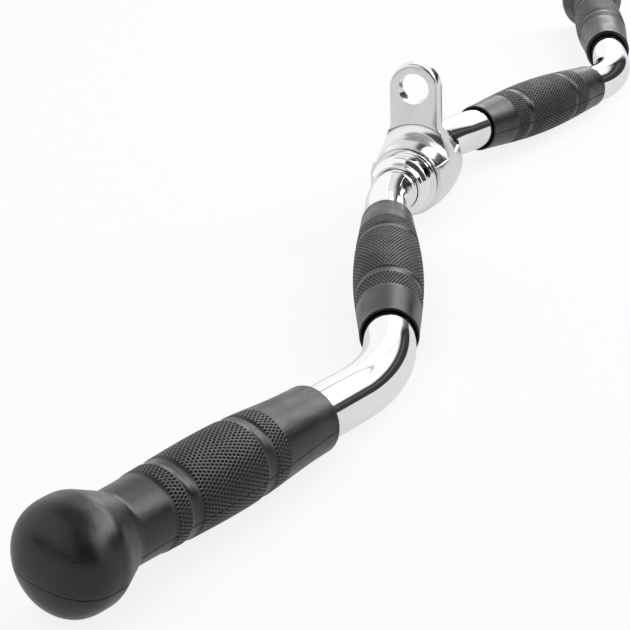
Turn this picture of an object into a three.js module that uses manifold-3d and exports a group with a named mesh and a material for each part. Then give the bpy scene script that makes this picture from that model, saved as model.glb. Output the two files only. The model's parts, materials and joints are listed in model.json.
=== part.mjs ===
// Lat pulldown bar: a bent chromed bar with four rubber grips and a revolving hanger at its middle.
// Lengths are millimetres. X runs along the bar, Z is up, and the bar lies as it rests on a floor.
// The origin is the middle of the bounding box at floor height.

import * as THREE from 'three';
import { mergeVertices } from 'three/addons/utils/BufferGeometryUtils.js';
import Module from 'manifold-3d';

const wasm = await Module();
wasm.setup();

// Bent bar. Corners are where the centre lines of two straight runs would cross.
const barDiameter = 25;
const centreToInnerCorner = 60;
const innerRunLength = 219;
const outerRunLength = 212;
const innerRunAngle = THREE.MathUtils.degToRad(17.8);
const outerRunAngle = THREE.MathUtils.degToRad(16.2);
const bendRadius = 100;

// Inner grip, a barrel with plain ends, knurled bands and two plain rings
const innerGripFromCorner = 36;
const innerGripLength = 142;
const innerGripEndDiameter = 28.6;
const innerGripBellyDiameter = 36;
const innerGripCollarLength = 25.5;
const innerGripBandLength = 13;
const innerGripRingLength = 7;
const bellyFullnessShare = 0.58;

// Outer grip, thickest in its middle and drawn in to a neck before the knob.
// Its bore ends at the end of the bar, so it is placed from there.
const barInOuterGrip = 150;
const outerGripEndDiameter = 31.2;
const outerGripDiameter = 36.6;
const outerGripWidestAt = 62;
const outerGripCollarLength = 37;
const outerGripBandLength = 9;
const outerGripRingLength = 7;
const outerGripKnurlLength = 40;
const neckBandLength = 7.5;
const neckLength = 21;
const neckDiameter = 33;

// Knob in one moulding with the outer grip
const knobDiameter = 47;
const knobShoulderDiameter = 35.6;
const knobShoulderLength = 2;
const knobFlareLength = 13;
const knobRimLength = 6;
const knobDomeLength = 17;
const knobDomePower = 2.4;

// Details shared by the grips
const gripEndRound = 1.6;
const gripMouthChamfer = 1.2;
const gripRingDepth = 0.4;
const gripRingSlope = 0.5;

// Hanger: ear with its hole, the foot that it stands on, and the sleeve with the cradle round its underside
const earWidth = 29.6;
const earThickness = 9;
const earHoleDiameter = 18;
const earHoleHeight = 49.2;
const flareHeight = 28.5;
const creaseRadius = 28.8;
const footSpread = 22;
const footRadius = 21.5;
const footCurveSpread = 11;
const footCurveRadius = 22.4;
const sleeveLength = 46.4;
const sleeveDiameter = 44.4;
const sleeveEndDiameter = 40.4;
const cradleDiameter = 46.4;
const cradleEndDiameter = 43;
const cradleRimHeight = 9;
const sleeveEndRound = 2;
const hangerLean = THREE.MathUtils.degToRad(2.75);

// Bushes, thrust washers, stop collars and their set screws
const bushWall = 2.2;
const bushLength = 20;
const bushFlangeDiameter = 35;
const bushFlangeThickness = 1;
const washerDiameter = 38;
const washerThickness = 1.2;
const washerChamfer = 0.25;
const collarDiameter = 35;
const collarBodyLength = 9;
const collarTaperLength = 2;
const collarLipDiameter = 28.8;
const collarLipLength = 4;
const collarChamfer = 0.6;
const setScrewDiameter = 8;
const setScrewSocketWidth = 4;
const setScrewSocketDepth = 2.4;
const setScrewRecess = 0.3;
const setScrewAngle = THREE.MathUtils.degToRad(41);

// Clearance of a pressed or clamped seat, clearance of a running fit, and the overrun of every cut
const seatGap = 0.3;
const runningGap = 0.3;
const cutOverrun = 2;

// Facets
const barSides = 28;
const bendSteps = 7;
const gripSides = 32;
const metalSides = 36;
const screwSides = 16;
const hexSides = 6;
const roundSteps = 3;
const domeSteps = 7;
const bodySteps = 4;
const bellySteps = 5;
const crownSteps = 8;
const outlineSteps = 10;

const barRadius = barDiameter / 2;
const boreRadius = barRadius + seatGap;
const left = -1;
const right = 1;

const chrome = new THREE.MeshStandardMaterial({ color: 0xe4e5e6, roughness: 0.08, metalness: 1 });
const satinChrome = new THREE.MeshStandardMaterial({ color: 0xd2d3d3, roughness: 0.2, metalness: 1 });
const rubber = new THREE.MeshStandardMaterial({ color: 0x2b2b2c, roughness: 0.55, metalness: 0 });
const bronze = new THREE.MeshStandardMaterial({ color: 0xa9824a, roughness: 0.35, metalness: 1 });
const blackSteel = new THREE.MeshStandardMaterial({ color: 0x1c1c1e, roughness: 0.4, metalness: 0.8 });

// Turns a closed geometry into a solid that can be cut and joined.
function solidOf(geometry) {
  geometry.deleteAttribute('normal');
  geometry.deleteAttribute('uv');
  const merged = mergeVertices(geometry);
  const corners = [];
  for (let i = 0; i < merged.index.count; i += 3) {
    const [a, b, c] = [0, 1, 2].map((k) => merged.index.getX(i + k));
    if (a !== b && b !== c && c !== a) corners.push(a, b, c);
  }
  return new wasm.Manifold(new wasm.Mesh({
    numProp: 3,
    vertProperties: new Float32Array(merged.attributes.position.array),
    triVerts: new Uint32Array(corners),
  }));
}

// Makes the named mesh of a solid.
function meshOf(name, solid, material) {
  const { vertProperties, triVerts } = solid.getMesh();
  const geometry = new THREE.BufferGeometry();
  geometry.setAttribute('position', new THREE.BufferAttribute(new Float32Array(vertProperties), 3));
  geometry.setIndex(new THREE.BufferAttribute(new Uint32Array(triVerts), 1));
  geometry.computeVertexNormals();
  const mesh = new THREE.Mesh(geometry, material);
  mesh.name = name;
  return mesh;
}

// A profile point: its place along the axis of turning and its radius.
function point(along, radius) {
  return new THREE.Vector2(radius, along);
}

// Turns a profile about the X axis. Its outside runs towards +X.
function turned(profile, sides) {
  const geometry = new THREE.LatheGeometry(profile, sides);
  geometry.rotateZ(-Math.PI / 2);
  return geometry;
}

function rod(from, to, radius, sides) {
  return turned([point(from, 0), point(from, radius), point(to, radius), point(to, 0)], sides);
}

// A profile drawn for the right side, or its mirror image for the left.
function sided(profile, side) {
  if (side === right) return profile;
  return profile.map((p) => point(-p.y, p.x)).reverse();
}

// A ring about the X axis, from its outer profile and the radius of its hole.
function ring(outerProfile, holeRadius) {
  const first = outerProfile[0];
  const last = outerProfile[outerProfile.length - 1];
  const hole = [point(last.y, holeRadius), point(first.y, holeRadius)];
  return solidOf(turned([...outerProfile, ...hole, first.clone()], metalSides));
}

// A quarter-round edge from an end face up to, but without, the point where it meets the outside.
function roundedEdge(end, radius, round) {
  const points = [];
  for (let i = 0; i < roundSteps; i += 1) {
    const turn = (i / roundSteps) * (Math.PI / 2);
    points.push(point(end + round * (1 - Math.cos(turn)), radius - round * (1 - Math.sin(turn))));
  }
  return points;
}

// Centre line of a bar with straight runs joined by arcs, with one step to a run and a few to a bend.
class BentBarPath extends THREE.Curve {
  constructor(corners, radius) {
    super();
    this.stations = [corners[0]];
    for (let i = 1; i < corners.length - 1; i += 1) {
      const into = corners[i].clone().sub(corners[i - 1]).normalize();
      const out = corners[i + 1].clone().sub(corners[i]).normalize();
      const turn = into.angleTo(out);
      const inward = out.clone().addScaledVector(into, -out.dot(into)).normalize();
      const centre = corners[i].clone().addScaledVector(into, -radius * Math.tan(turn / 2));
      centre.addScaledVector(inward, radius);
      for (let k = 0; k <= bendSteps; k += 1) {
        const angle = (turn * k) / bendSteps;
        const station = centre.clone().addScaledVector(inward, -radius * Math.cos(angle));
        this.stations.push(station.addScaledVector(into, radius * Math.sin(angle)));
      }
    }
    this.stations.push(corners[corners.length - 1]);
    this.steps = this.stations.length - 1;
  }

  getPointAt(share) {
    return this.stations[Math.round(share * this.steps)].clone();
  }

  getTangentAt(share) {
    const index = Math.round(share * this.steps);
    const here = this.stations[index];
    const into = here.clone().sub(this.stations[Math.max(index - 1, 0)]).normalize();
    const out = this.stations[Math.min(index + 1, this.steps)].clone().sub(here).normalize();
    return into.add(out).normalize();
  }
}

const innerDirection = new THREE.Vector3(Math.cos(innerRunAngle), -Math.sin(innerRunAngle), 0);
const outerDirection = new THREE.Vector3(Math.cos(outerRunAngle), Math.sin(outerRunAngle), 0);
const innerCorner = new THREE.Vector3(centreToInnerCorner, 0, 0);
const outerCorner = innerCorner.clone().addScaledVector(innerDirection, innerRunLength);
const barEnd = outerCorner.clone().addScaledVector(outerDirection, outerRunLength);

function makeBar() {
  const rightCorners = [innerCorner, outerCorner, barEnd];
  const leftCorners = rightCorners.map((corner) => new THREE.Vector3(-corner.x, corner.y, corner.z));
  const path = new BentBarPath([...leftCorners.reverse(), ...rightCorners], bendRadius);
  const section = new THREE.Shape().absarc(0, 0, barRadius, 0, 2 * Math.PI);
  const geometry = new THREE.ExtrudeGeometry(section, {
    steps: path.steps,
    curveSegments: barSides / 2,
    extrudePath: path,
  });
  return meshOf('bar', solidOf(geometry), chrome);
}

// The outside of a grip from its bands. Plain rings and the neck lie a little below the body.
function bandedProfile(bodyRadius, bands, start) {
  const profile = [];
  let from = start;
  for (const { length, depth, steps } of bands) {
    const slope = depth > 0 ? gripRingSlope : 0;
    for (let i = 0; i <= steps; i += 1) {
      const along = from + slope + ((length - 2 * slope) * i) / steps;
      profile.push(point(along, bodyRadius(along) - depth));
    }
    from += length;
  }
  return profile;
}

// The open end of a grip: the chamfered mouth of its bore and the rounded edge of its end face.
function openEnd(start, bodyRadius) {
  const mouth = point(start, boreRadius + gripMouthChamfer);
  return [mouth, ...roundedEdge(start, bodyRadius(start + gripEndRound), gripEndRound)];
}

function innerBodyRadius(along) {
  const rise = (1 + Math.cos((2 * Math.PI * along) / innerGripLength)) / 2;
  const swell = (innerGripBellyDiameter - innerGripEndDiameter) / 2;
  return innerGripEndDiameter / 2 + swell * rise ** bellyFullnessShare;
}

function innerGripGeometry() {
  const half = innerGripLength / 2;
  const sideLength = innerGripCollarLength + innerGripBandLength + innerGripRingLength;
  const collar = { length: innerGripCollarLength - gripEndRound, depth: 0, steps: bodySteps };
  const band = { length: innerGripBandLength, depth: 0, steps: 2 };
  const plainRing = { length: innerGripRingLength, depth: gripRingDepth, steps: 1 };
  const middle = { length: innerGripLength - 2 * sideLength, depth: 0, steps: bellySteps };
  const bands = [collar, band, plainRing, middle, plainRing, band, collar];
  const end = openEnd(-half, innerBodyRadius);
  const bore = [point(half - gripMouthChamfer, boreRadius), point(gripMouthChamfer - half, boreRadius)];
  const outside = [...end, ...bandedProfile(innerBodyRadius, bands, gripEndRound - half), ...sided(end, left)];
  return turned([...outside, ...bore, end[0].clone()], gripSides);
}

const outerGripStart = outerRunLength - barInOuterGrip;
const neckStart = outerGripCollarLength + outerGripBandLength + 2 * outerGripRingLength
  + outerGripKnurlLength + neckBandLength;
const knobStart = neckStart + neckLength;
const knobRimStart = knobStart + knobShoulderLength + knobFlareLength;

// Radius of the outer grip without rings and knob, at a distance from its open end.
function outerBodyRadius(along) {
  const rising = along < outerGripWidestAt;
  const end = (rising ? outerGripEndDiameter : neckDiameter) / 2;
  const reach = rising ? outerGripWidestAt : knobStart - outerGripWidestAt;
  const share = Math.min(Math.abs(along - outerGripWidestAt) / reach, 1);
  return end + ((outerGripDiameter / 2 - end) * (1 + Math.cos(Math.PI * share))) / 2;
}

function outerGripOutside() {
  const bands = [
    { length: outerGripCollarLength - gripEndRound, depth: 0, steps: bodySteps },
    { length: outerGripBandLength, depth: 0, steps: 1 },
    { length: outerGripRingLength, depth: gripRingDepth, steps: 1 },
    { length: outerGripKnurlLength, depth: 0, steps: bodySteps },
    { length: outerGripRingLength, depth: gripRingDepth, steps: 1 },
    { length: neckBandLength, depth: 0, steps: 1 },
    { length: neckLength, depth: gripRingDepth, steps: bodySteps },
  ];
  return bandedProfile(outerBodyRadius, bands, gripEndRound);
}

function knobOutside() {
  const outside = [
    point(knobStart + knobShoulderLength, knobShoulderDiameter / 2),
    point(knobRimStart, knobDiameter / 2),
  ];
  for (let i = 0; i <= domeSteps; i += 1) {
    const turn = (i / domeSteps) * (Math.PI / 2);
    const reach = Math.sin(turn) ** (2 / knobDomePower);
    const width = i === domeSteps ? 0 : Math.cos(turn) ** (2 / knobDomePower);
    outside.push(point(knobRimStart + knobRimLength + knobDomeLength * reach, (knobDiameter / 2) * width));
  }
  return outside;
}

// Outer grip with its open end at the origin and its knob towards +X.
function outerGripGeometry() {
  const end = openEnd(0, outerBodyRadius);
  const boreDepth = barInOuterGrip + seatGap;
  const bore = [point(boreDepth, 0), point(boreDepth, boreRadius), point(gripMouthChamfer, boreRadius)];
  return turned([...end, ...outerGripOutside(), ...knobOutside(), ...bore, end[0].clone()], gripSides);
}

// Puts a piece on a run of the bar, at a distance from the run's first corner.
function onRun(mesh, side, corner, direction, distance) {
  const place = corner.clone().addScaledVector(direction, distance);
  mesh.position.set(side * place.x, place.y, place.z);
  mesh.rotation.z = Math.atan2(direction.y, side * direction.x);
  return mesh;
}

function makeInnerGrip(side, name) {
  const mesh = meshOf(name, solidOf(innerGripGeometry()), rubber);
  return onRun(mesh, side, innerCorner, innerDirection, innerGripFromCorner + innerGripLength / 2);
}

function makeOuterGrip(side, name) {
  const mesh = meshOf(name, solidOf(outerGripGeometry()), rubber);
  return onRun(mesh, side, outerCorner, outerDirection, outerGripStart);
}

// A prism of an outline drawn in the YZ plane, from -reach to reach along X.
function prismAlongX(outline, reach) {
  const geometry = new THREE.ExtrudeGeometry(outline, {
    depth: 2 * reach,
    bevelEnabled: false,
    curveSegments: outlineSteps,
  });
  geometry.translate(0, 0, -reach);
  const [x, y, z] = [new THREE.Vector3(1, 0, 0), new THREE.Vector3(0, 1, 0), new THREE.Vector3(0, 0, 1)];
  geometry.applyMatrix4(new THREE.Matrix4().makeBasis(y, z, x));
  return solidOf(geometry);
}

// A crowned barrel about the X axis, thickest in the middle, with rounded end edges.
function crownedBarrel(diameter, endDiameter) {
  const half = sleeveLength / 2;
  const crownHalf = half - sleeveEndRound;
  const radiusAt = (along) => diameter / 2 - ((diameter - endDiameter) / 2) * (along / crownHalf) ** 2;
  const end = roundedEdge(-half, radiusAt(crownHalf), sleeveEndRound);
  const crown = [];
  for (let i = 0; i <= crownSteps; i += 1) {
    const along = crownHalf * ((2 * i) / crownSteps - 1);
    crown.push(point(along, radiusAt(along)));
  }
  return solidOf(turned([point(-half, 0), ...end, ...crown, ...sided(end, left), point(half, 0)], metalSides));
}

// Hanger seen along the bar: the round ear, whose sides flow into the cradle's circle at its rim.
function hangerFront() {
  const half = earWidth / 2;
  const flankAngle = Math.asin(cradleRimHeight / (cradleDiameter / 2));
  const meet = new THREE.Vector2(cradleRimHeight / Math.tan(flankAngle), cradleRimHeight);
  const pull = meet.y + (meet.x - half) / Math.tan(flankAngle);
  const outline = new THREE.Shape();
  outline.moveTo(half, earHoleHeight);
  outline.absarc(0, earHoleHeight, half, 0, Math.PI);
  outline.lineTo(-half, flareHeight);
  outline.quadraticCurveTo(-half, pull, -meet.x, meet.y);
  outline.lineTo(cutOverrun - meet.x, meet.y - cutOverrun);
  outline.lineTo(meet.x - cutOverrun, meet.y - cutOverrun);
  outline.lineTo(meet.x, meet.y);
  outline.quadraticCurveTo(half, pull, half, flareHeight);
  outline.closePath();
  return outline;
}

// The ear's foot, turned about the bar's axis, with a hollow curve from the sleeve up to the crease.
function earFoot() {
  const outline = new THREE.Path();
  outline.moveTo(-footSpread / 2, footRadius);
  outline.quadraticCurveTo(-footCurveSpread / 2, footCurveRadius, -earThickness / 2, creaseRadius);
  const rise = outline.getPoints(outlineSteps).map((p) => point(p.x, p.y));
  const ends = [point(-footSpread / 2, 0), point(footSpread / 2, 0)];
  return solidOf(turned([ends[0], ...rise, ...sided(rise, left), ends[1]], metalSides));
}

function makeHanger() {
  const half = sleeveLength / 2;
  const foot = prismAlongX(hangerFront(), half).intersect(earFoot());
  const ear = prismAlongX(hangerFront(), earThickness / 2).add(foot);
  const below = new THREE.BoxGeometry(sleeveLength, 2 * cradleDiameter, cradleDiameter);
  below.translate(0, 0, cradleRimHeight - cradleDiameter / 2);
  const cradle = crownedBarrel(cradleDiameter, cradleEndDiameter).intersect(solidOf(below));
  const sleeve = crownedBarrel(sleeveDiameter, sleeveEndDiameter);
  const hole = rod(-half, half, earHoleDiameter / 2, metalSides).translate(0, 0, earHoleHeight);
  const bore = rod(-half - cutOverrun, half + cutOverrun, bushRadius() + seatGap, metalSides);
  const body = sleeve.add(cradle).add(ear);
  return meshOf('hanger', body.subtract(solidOf(hole)).subtract(solidOf(bore)), satinChrome);
}

function bushRadius() {
  return barRadius + runningGap + bushWall;
}

// Places along X of the faces between the hanger and the stop collars, on the right side.
const flangeStart = sleeveLength / 2 + seatGap;
const washerStart = flangeStart + bushFlangeThickness + runningGap;
const collarStart = washerStart + washerThickness + runningGap;
const collarBodyEnd = collarStart + collarBodyLength;
const collarEnd = collarBodyEnd + collarTaperLength + collarLipLength;

function makeBush(side, name) {
  const outside = [
    point(flangeStart - bushLength, bushRadius()),
    point(flangeStart, bushRadius()),
    point(flangeStart, bushFlangeDiameter / 2),
    point(flangeStart + bushFlangeThickness, bushFlangeDiameter / 2),
  ];
  return meshOf(name, ring(sided(outside, side), barRadius + runningGap), bronze);
}

function makeThrustWasher(side, name) {
  const radius = washerDiameter / 2;
  const end = washerStart + washerThickness;
  const outside = [
    point(washerStart, radius - washerChamfer),
    point(washerStart + washerChamfer, radius),
    point(end - washerChamfer, radius),
    point(end, radius - washerChamfer),
  ];
  return meshOf(name, ring(sided(outside, side), boreRadius), chrome);
}

// A rod that stands on the bar's axis and leans out at the set screw's angle.
function screwRod(side, from, to, radius, sides) {
  const geometry = rod(from, to, radius, sides);
  geometry.rotateY(-Math.PI / 2);
  geometry.rotateX(Math.PI / 2 - setScrewAngle);
  return solidOf(geometry.translate((side * (collarStart + collarBodyEnd)) / 2, 0, 0));
}

function makeStopCollar(side, name) {
  const body = collarDiameter / 2;
  const lip = collarLipDiameter / 2;
  const outside = [
    point(collarStart, body - collarChamfer),
    point(collarStart + collarChamfer, body),
    point(collarBodyEnd, body),
    point(collarBodyEnd + collarTaperLength, lip),
    point(collarEnd - collarChamfer, lip),
    point(collarEnd, lip - collarChamfer),
  ];
  const hole = screwRod(side, barRadius, body + cutOverrun, setScrewDiameter / 2 + seatGap, screwSides);
  return meshOf(name, ring(sided(outside, side), boreRadius).subtract(hole), chrome);
}

function makeSetScrew(side, name) {
  const end = collarDiameter / 2 - setScrewRecess;
  const screw = screwRod(side, boreRadius, end, setScrewDiameter / 2, screwSides);
  const socketRadius = setScrewSocketWidth / Math.sqrt(3);
  const socket = screwRod(side, end - setScrewSocketDepth, end + cutOverrun, socketRadius, hexSides);
  return meshOf(name, screw.subtract(socket), blackSteel);
}

// Tilt of the bent bar about X as it rests on its knobs and on the widest part of its outer grips.
function restingTilt() {
  const heightOf = (along) => outerCorner.y + (outerGripStart + along) * Math.sin(outerRunAngle);
  const slopes = outerGripOutside().map((p) => (knobDiameter / 2 - p.x) / (heightOf(knobRimStart) - heightOf(p.y)));
  return Math.atan(Math.min(...slopes));
}

// The bar with what is fixed on it lies tilted, and the hanger leans over the bends on the same centre line.
const lying = new THREE.Group();
const revolving = new THREE.Group();
lying.rotation.x = restingTilt();
revolving.rotation.x = hangerLean;
lying.add(makeBar());
revolving.add(makeHanger());
for (const [side, sideName] of [[left, 'left'], [right, 'right']]) {
  lying.add(makeInnerGrip(side, `inner_grip_${sideName}`));
  lying.add(makeOuterGrip(side, `outer_grip_${sideName}`));
  lying.add(makeThrustWasher(side, `thrust_washer_${sideName}`));
  lying.add(makeStopCollar(side, `stop_collar_${sideName}`));
  lying.add(makeSetScrew(side, `set_screw_${sideName}`));
  revolving.add(makeBush(side, `bush_${sideName}`));
}

const pulldownBar = new THREE.Group();
pulldownBar.add(lying, revolving);
const reach = new THREE.Box3().setFromObject(pulldownBar, true);
pulldownBar.position.set(0, -(reach.min.y + reach.max.y) / 2, -reach.min.z);

export default pulldownBar;
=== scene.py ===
"""Looks of a lat pulldown bar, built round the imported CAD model.

The bent chromed bar lies on a pale floor with its four rubber grips, and the hanger stands up at its
middle. Sizes are written in millimetres and built in metres. A piece is first made about the X axis, or in
the plane of the bent bar, and is then put in its place by a matrix that goes into its mesh.
"""
import json
import logging
import math
from collections.abc import Iterable
from dataclasses import dataclass
from enum import Enum

import bmesh
import bpy
from mathutils import Matrix, Vector


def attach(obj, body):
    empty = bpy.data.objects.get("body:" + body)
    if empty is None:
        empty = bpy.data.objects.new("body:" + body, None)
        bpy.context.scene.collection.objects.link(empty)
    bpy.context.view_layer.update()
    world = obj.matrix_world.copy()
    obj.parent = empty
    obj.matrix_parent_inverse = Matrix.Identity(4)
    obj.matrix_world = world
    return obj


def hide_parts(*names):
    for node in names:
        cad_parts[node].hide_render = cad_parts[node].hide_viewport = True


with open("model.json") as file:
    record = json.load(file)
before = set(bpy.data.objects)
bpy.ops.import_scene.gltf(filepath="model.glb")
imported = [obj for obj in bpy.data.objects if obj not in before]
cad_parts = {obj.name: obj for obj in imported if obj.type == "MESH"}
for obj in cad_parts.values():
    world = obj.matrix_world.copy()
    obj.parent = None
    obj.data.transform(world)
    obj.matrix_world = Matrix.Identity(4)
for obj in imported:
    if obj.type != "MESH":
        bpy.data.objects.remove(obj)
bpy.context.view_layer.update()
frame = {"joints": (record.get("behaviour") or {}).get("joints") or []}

MM = 0.001
Pair = tuple[float, float]
Triple = tuple[float, float, float]
Profile = list[Pair]
Mesh = bmesh.types.BMesh
Material = bpy.types.Material
Piece = bpy.types.Object
Socket = bpy.types.NodeSocket

# Points of a turned profile nearer than this become one, and so do points of two halves, in millimetres
MERGE = 0.001
WELD = 0.01
# A round takes at most this share of an edge
ROUND_SHARE = 0.49
# Sockets of a colour mix: the share, the two colours, and the result
MIX_INPUTS = (0, 6, 7)
MIX_RESULT = 2
HEXAGON = 6

log = logging.getLogger("pulldown_bar")


class Side(Enum):
    """The two ends of the bar, by the sign of X."""

    LEFT = -1
    RIGHT = 1

    @property
    def word(self) -> str:
        """The side's word in the names of pieces."""
        return self.name.lower()


class Body(Enum):
    """The bodies that the pieces ride on."""

    BAR = "bar"
    HANGER = "hanger"


class Relief(Enum):
    """What is moulded into a band of a grip."""

    PLAIN = "plain"
    PITS = "pits"
    RIDGES = "ridges"


# Materials


@dataclass(frozen=True)
class Pattern:
    """A noise in object coordinates.

    Attributes:
        scale: Features per metre.
        detail: Octaves.
        stretch: How far it is drawn out along each axis.
    """

    scale: float
    detail: float
    stretch: Triple = (1, 1, 1)


class NodeSheet:
    """The node tree of a material or of the surroundings, with short calls to add and join its nodes."""

    def __init__(self, owner: Material | bpy.types.World, output: str = "ShaderNodeOutputMaterial") -> None:
        """Starts with an empty tree.

        Args:
            owner: Whose tree it is.
            output: Type name of its output node.
        """
        owner.use_nodes = True
        self.owner = owner
        self.tree = owner.node_tree
        self.tree.nodes.clear()
        self.output = self.add(output)

    def add(self, kind: str, **settings: object) -> bpy.types.Node:
        """Adds a node.

        Args:
            kind: The node's type name.
            **settings: Attributes of the node.

        Returns:
            The new node.
        """
        node = self.tree.nodes.new(kind)
        for key, value in settings.items():
            setattr(node, key, value)
        return node

    def join(self, source: Socket | float | Triple, target: Socket) -> None:
        """Links an output to an input, or sets a plain value there.

        Args:
            source: An output socket, a number or a colour.
            target: The input socket.
        """
        if isinstance(source, Socket):
            self.tree.links.new(source, target)
        else:
            target.default_value = (*source, 1) if isinstance(source, tuple) else source

    def noise(self, pattern: Pattern) -> Socket:
        """Makes a noise pattern.

        Args:
            pattern: Its size, detail and stretch.

        Returns:
            The factor socket.
        """
        mapping = self.add("ShaderNodeMapping", vector_type="TEXTURE")
        mapping.inputs["Scale"].default_value = pattern.stretch
        self.join(self.add("ShaderNodeTexCoord").outputs["Object"], mapping.inputs["Vector"])
        texture = self.add("ShaderNodeTexNoise")
        self.join(pattern.scale, texture.inputs["Scale"])
        self.join(pattern.detail, texture.inputs["Detail"])
        self.join(mapping.outputs["Vector"], texture.inputs["Vector"])
        return texture.outputs["Fac"]

    def span(self, value: Socket, source: Pair = (0, 1), target: Pair = (0, 1)) -> Socket:
        """Maps a range of a value to another range, held at both ends.

        Args:
            value: The value.
            source: The range that is read.
            target: The range that is given.

        Returns:
            The mapped value.
        """
        node = self.add("ShaderNodeMapRange", clamp=True)
        for name, number in zip(("From Min", "From Max", "To Min", "To Max"), (*source, *target)):
            self.join(number, node.inputs[name])
        self.join(value, node.inputs["Value"])
        return node.outputs["Result"]

    def math(self, operation: str, first: Socket, second: Socket | float) -> Socket:
        """Works out one value from two.

        Args:
            operation: The math node's operation.
            first: A value socket.
            second: A value socket or a number.

        Returns:
            The result socket.
        """
        node = self.add("ShaderNodeMath", operation=operation)
        self.join(first, node.inputs[0])
        self.join(second, node.inputs[1])
        return node.outputs["Value"]

    def blend(self, share: Socket, first: Socket | Triple, second: Socket | Triple) -> Socket:
        """Mixes two colours.

        Args:
            share: How much of the second colour shows.
            first: A colour or a colour socket.
            second: A colour or a colour socket.

        Returns:
            The colour socket.
        """
        node = self.add("ShaderNodeMix", data_type="RGBA")
        for index, value in zip(MIX_INPUTS, (share, first, second)):
            self.join(value, node.inputs[index])
        return node.outputs[MIX_RESULT]

    def attribute(self, name: str) -> Socket:
        """The value of a mesh attribute."""
        return self.add("ShaderNodeAttribute", attribute_name=name).outputs["Fac"]

    def seen(self) -> Socket:
        """Tells what is seen, straight on, mirrored or through something clear, from what only lights.

        Returns:
            A value socket, 1 for what is seen and 0 otherwise.
        """
        rays = self.add("ShaderNodeLightPath")
        seen = self.math("MAXIMUM", rays.outputs["Is Camera Ray"], rays.outputs["Is Glossy Ray"])
        return self.math("MAXIMUM", seen, rays.outputs["Is Transmission Ray"])

    def bump(self, pattern: Pattern, depth: float, normal: Socket | None = None) -> Socket:
        """Makes a bump of a noise pattern.

        Args:
            pattern: The pattern.
            depth: What its full height stands for, in metres.
            normal: A bump below this one.

        Returns:
            The normal socket.
        """
        node = self.add("ShaderNodeBump")
        self.join(depth, node.inputs["Distance"])
        self.join(self.noise(pattern), node.inputs["Height"])
        if normal:
            self.join(normal, node.inputs["Normal"])
        return node.outputs["Normal"]

    def principled(self, **values: float) -> bpy.types.Node:
        """Adds the surface shader and joins it to the output.

        Args:
            **values: Plain values of its sockets.

        Returns:
            The shader node.
        """
        shader = self.add("ShaderNodeBsdfPrincipled")
        for key, value in values.items():
            self.join(value, shader.inputs[key])
        self.join(shader.outputs["BSDF"], self.output.inputs["Surface"])
        return shader


@dataclass(frozen=True)
class PlatedFinish:
    """A plated or bare metal, with faint smudges in its gloss and a slight waviness.

    Attributes:
        name: The material's name.
        colour: Colour of the clean metal.
        dull: Colour where it is smudged.
        gloss: Roughness of the clean metal.
        smudged: Roughness where it is smudged.
        waviness: Depth of the slow waves, in metres.
        grain: Depth of the fine grain, in metres.
        patches: Pattern of the smudges.
        patch_span: Range of that pattern from clean to smudged.
        streaks: Pattern of the streaks in the smudges.
        streak_span: Range of that pattern.
        streak_share: How much of a smudge shows between streaks and in them.
        waves: Pattern of the waves.
        grains: Pattern of the grain.
    """

    name: str
    colour: Triple
    dull: Triple
    gloss: float
    smudged: float
    waviness: float = 0.00003
    grain: float = 0.000002
    patches: Pattern = Pattern(26, 4)
    patch_span: Pair = (0.45, 0.7)
    streaks: Pattern = Pattern(90, 5, (4, 1, 1))
    streak_span: Pair = (0.35, 0.7)
    streak_share: Pair = (0.2, 1)
    waves: Pattern = Pattern(35, 1)
    grains: Pattern = Pattern(2400, 2)

    def make(self) -> Material:
        """Makes the material.

        Returns:
            The material.
        """
        sheet = NodeSheet(bpy.data.materials.new(self.name))
        metal = sheet.principled(Metallic=1.0)
        patches = sheet.span(sheet.noise(self.patches), self.patch_span)
        streaks = sheet.span(sheet.noise(self.streaks), self.streak_span, self.streak_share)
        smudge = sheet.math("MULTIPLY", patches, streaks)
        sheet.join(sheet.blend(smudge, self.colour, self.dull), metal.inputs["Base Color"])
        sheet.join(sheet.span(smudge, target=(self.gloss, self.smudged)), metal.inputs["Roughness"])
        waves = sheet.bump(self.waves, self.waviness)
        sheet.join(sheet.bump(self.grains, self.grain, waves), metal.inputs["Normal"])
        return sheet.owner


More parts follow.
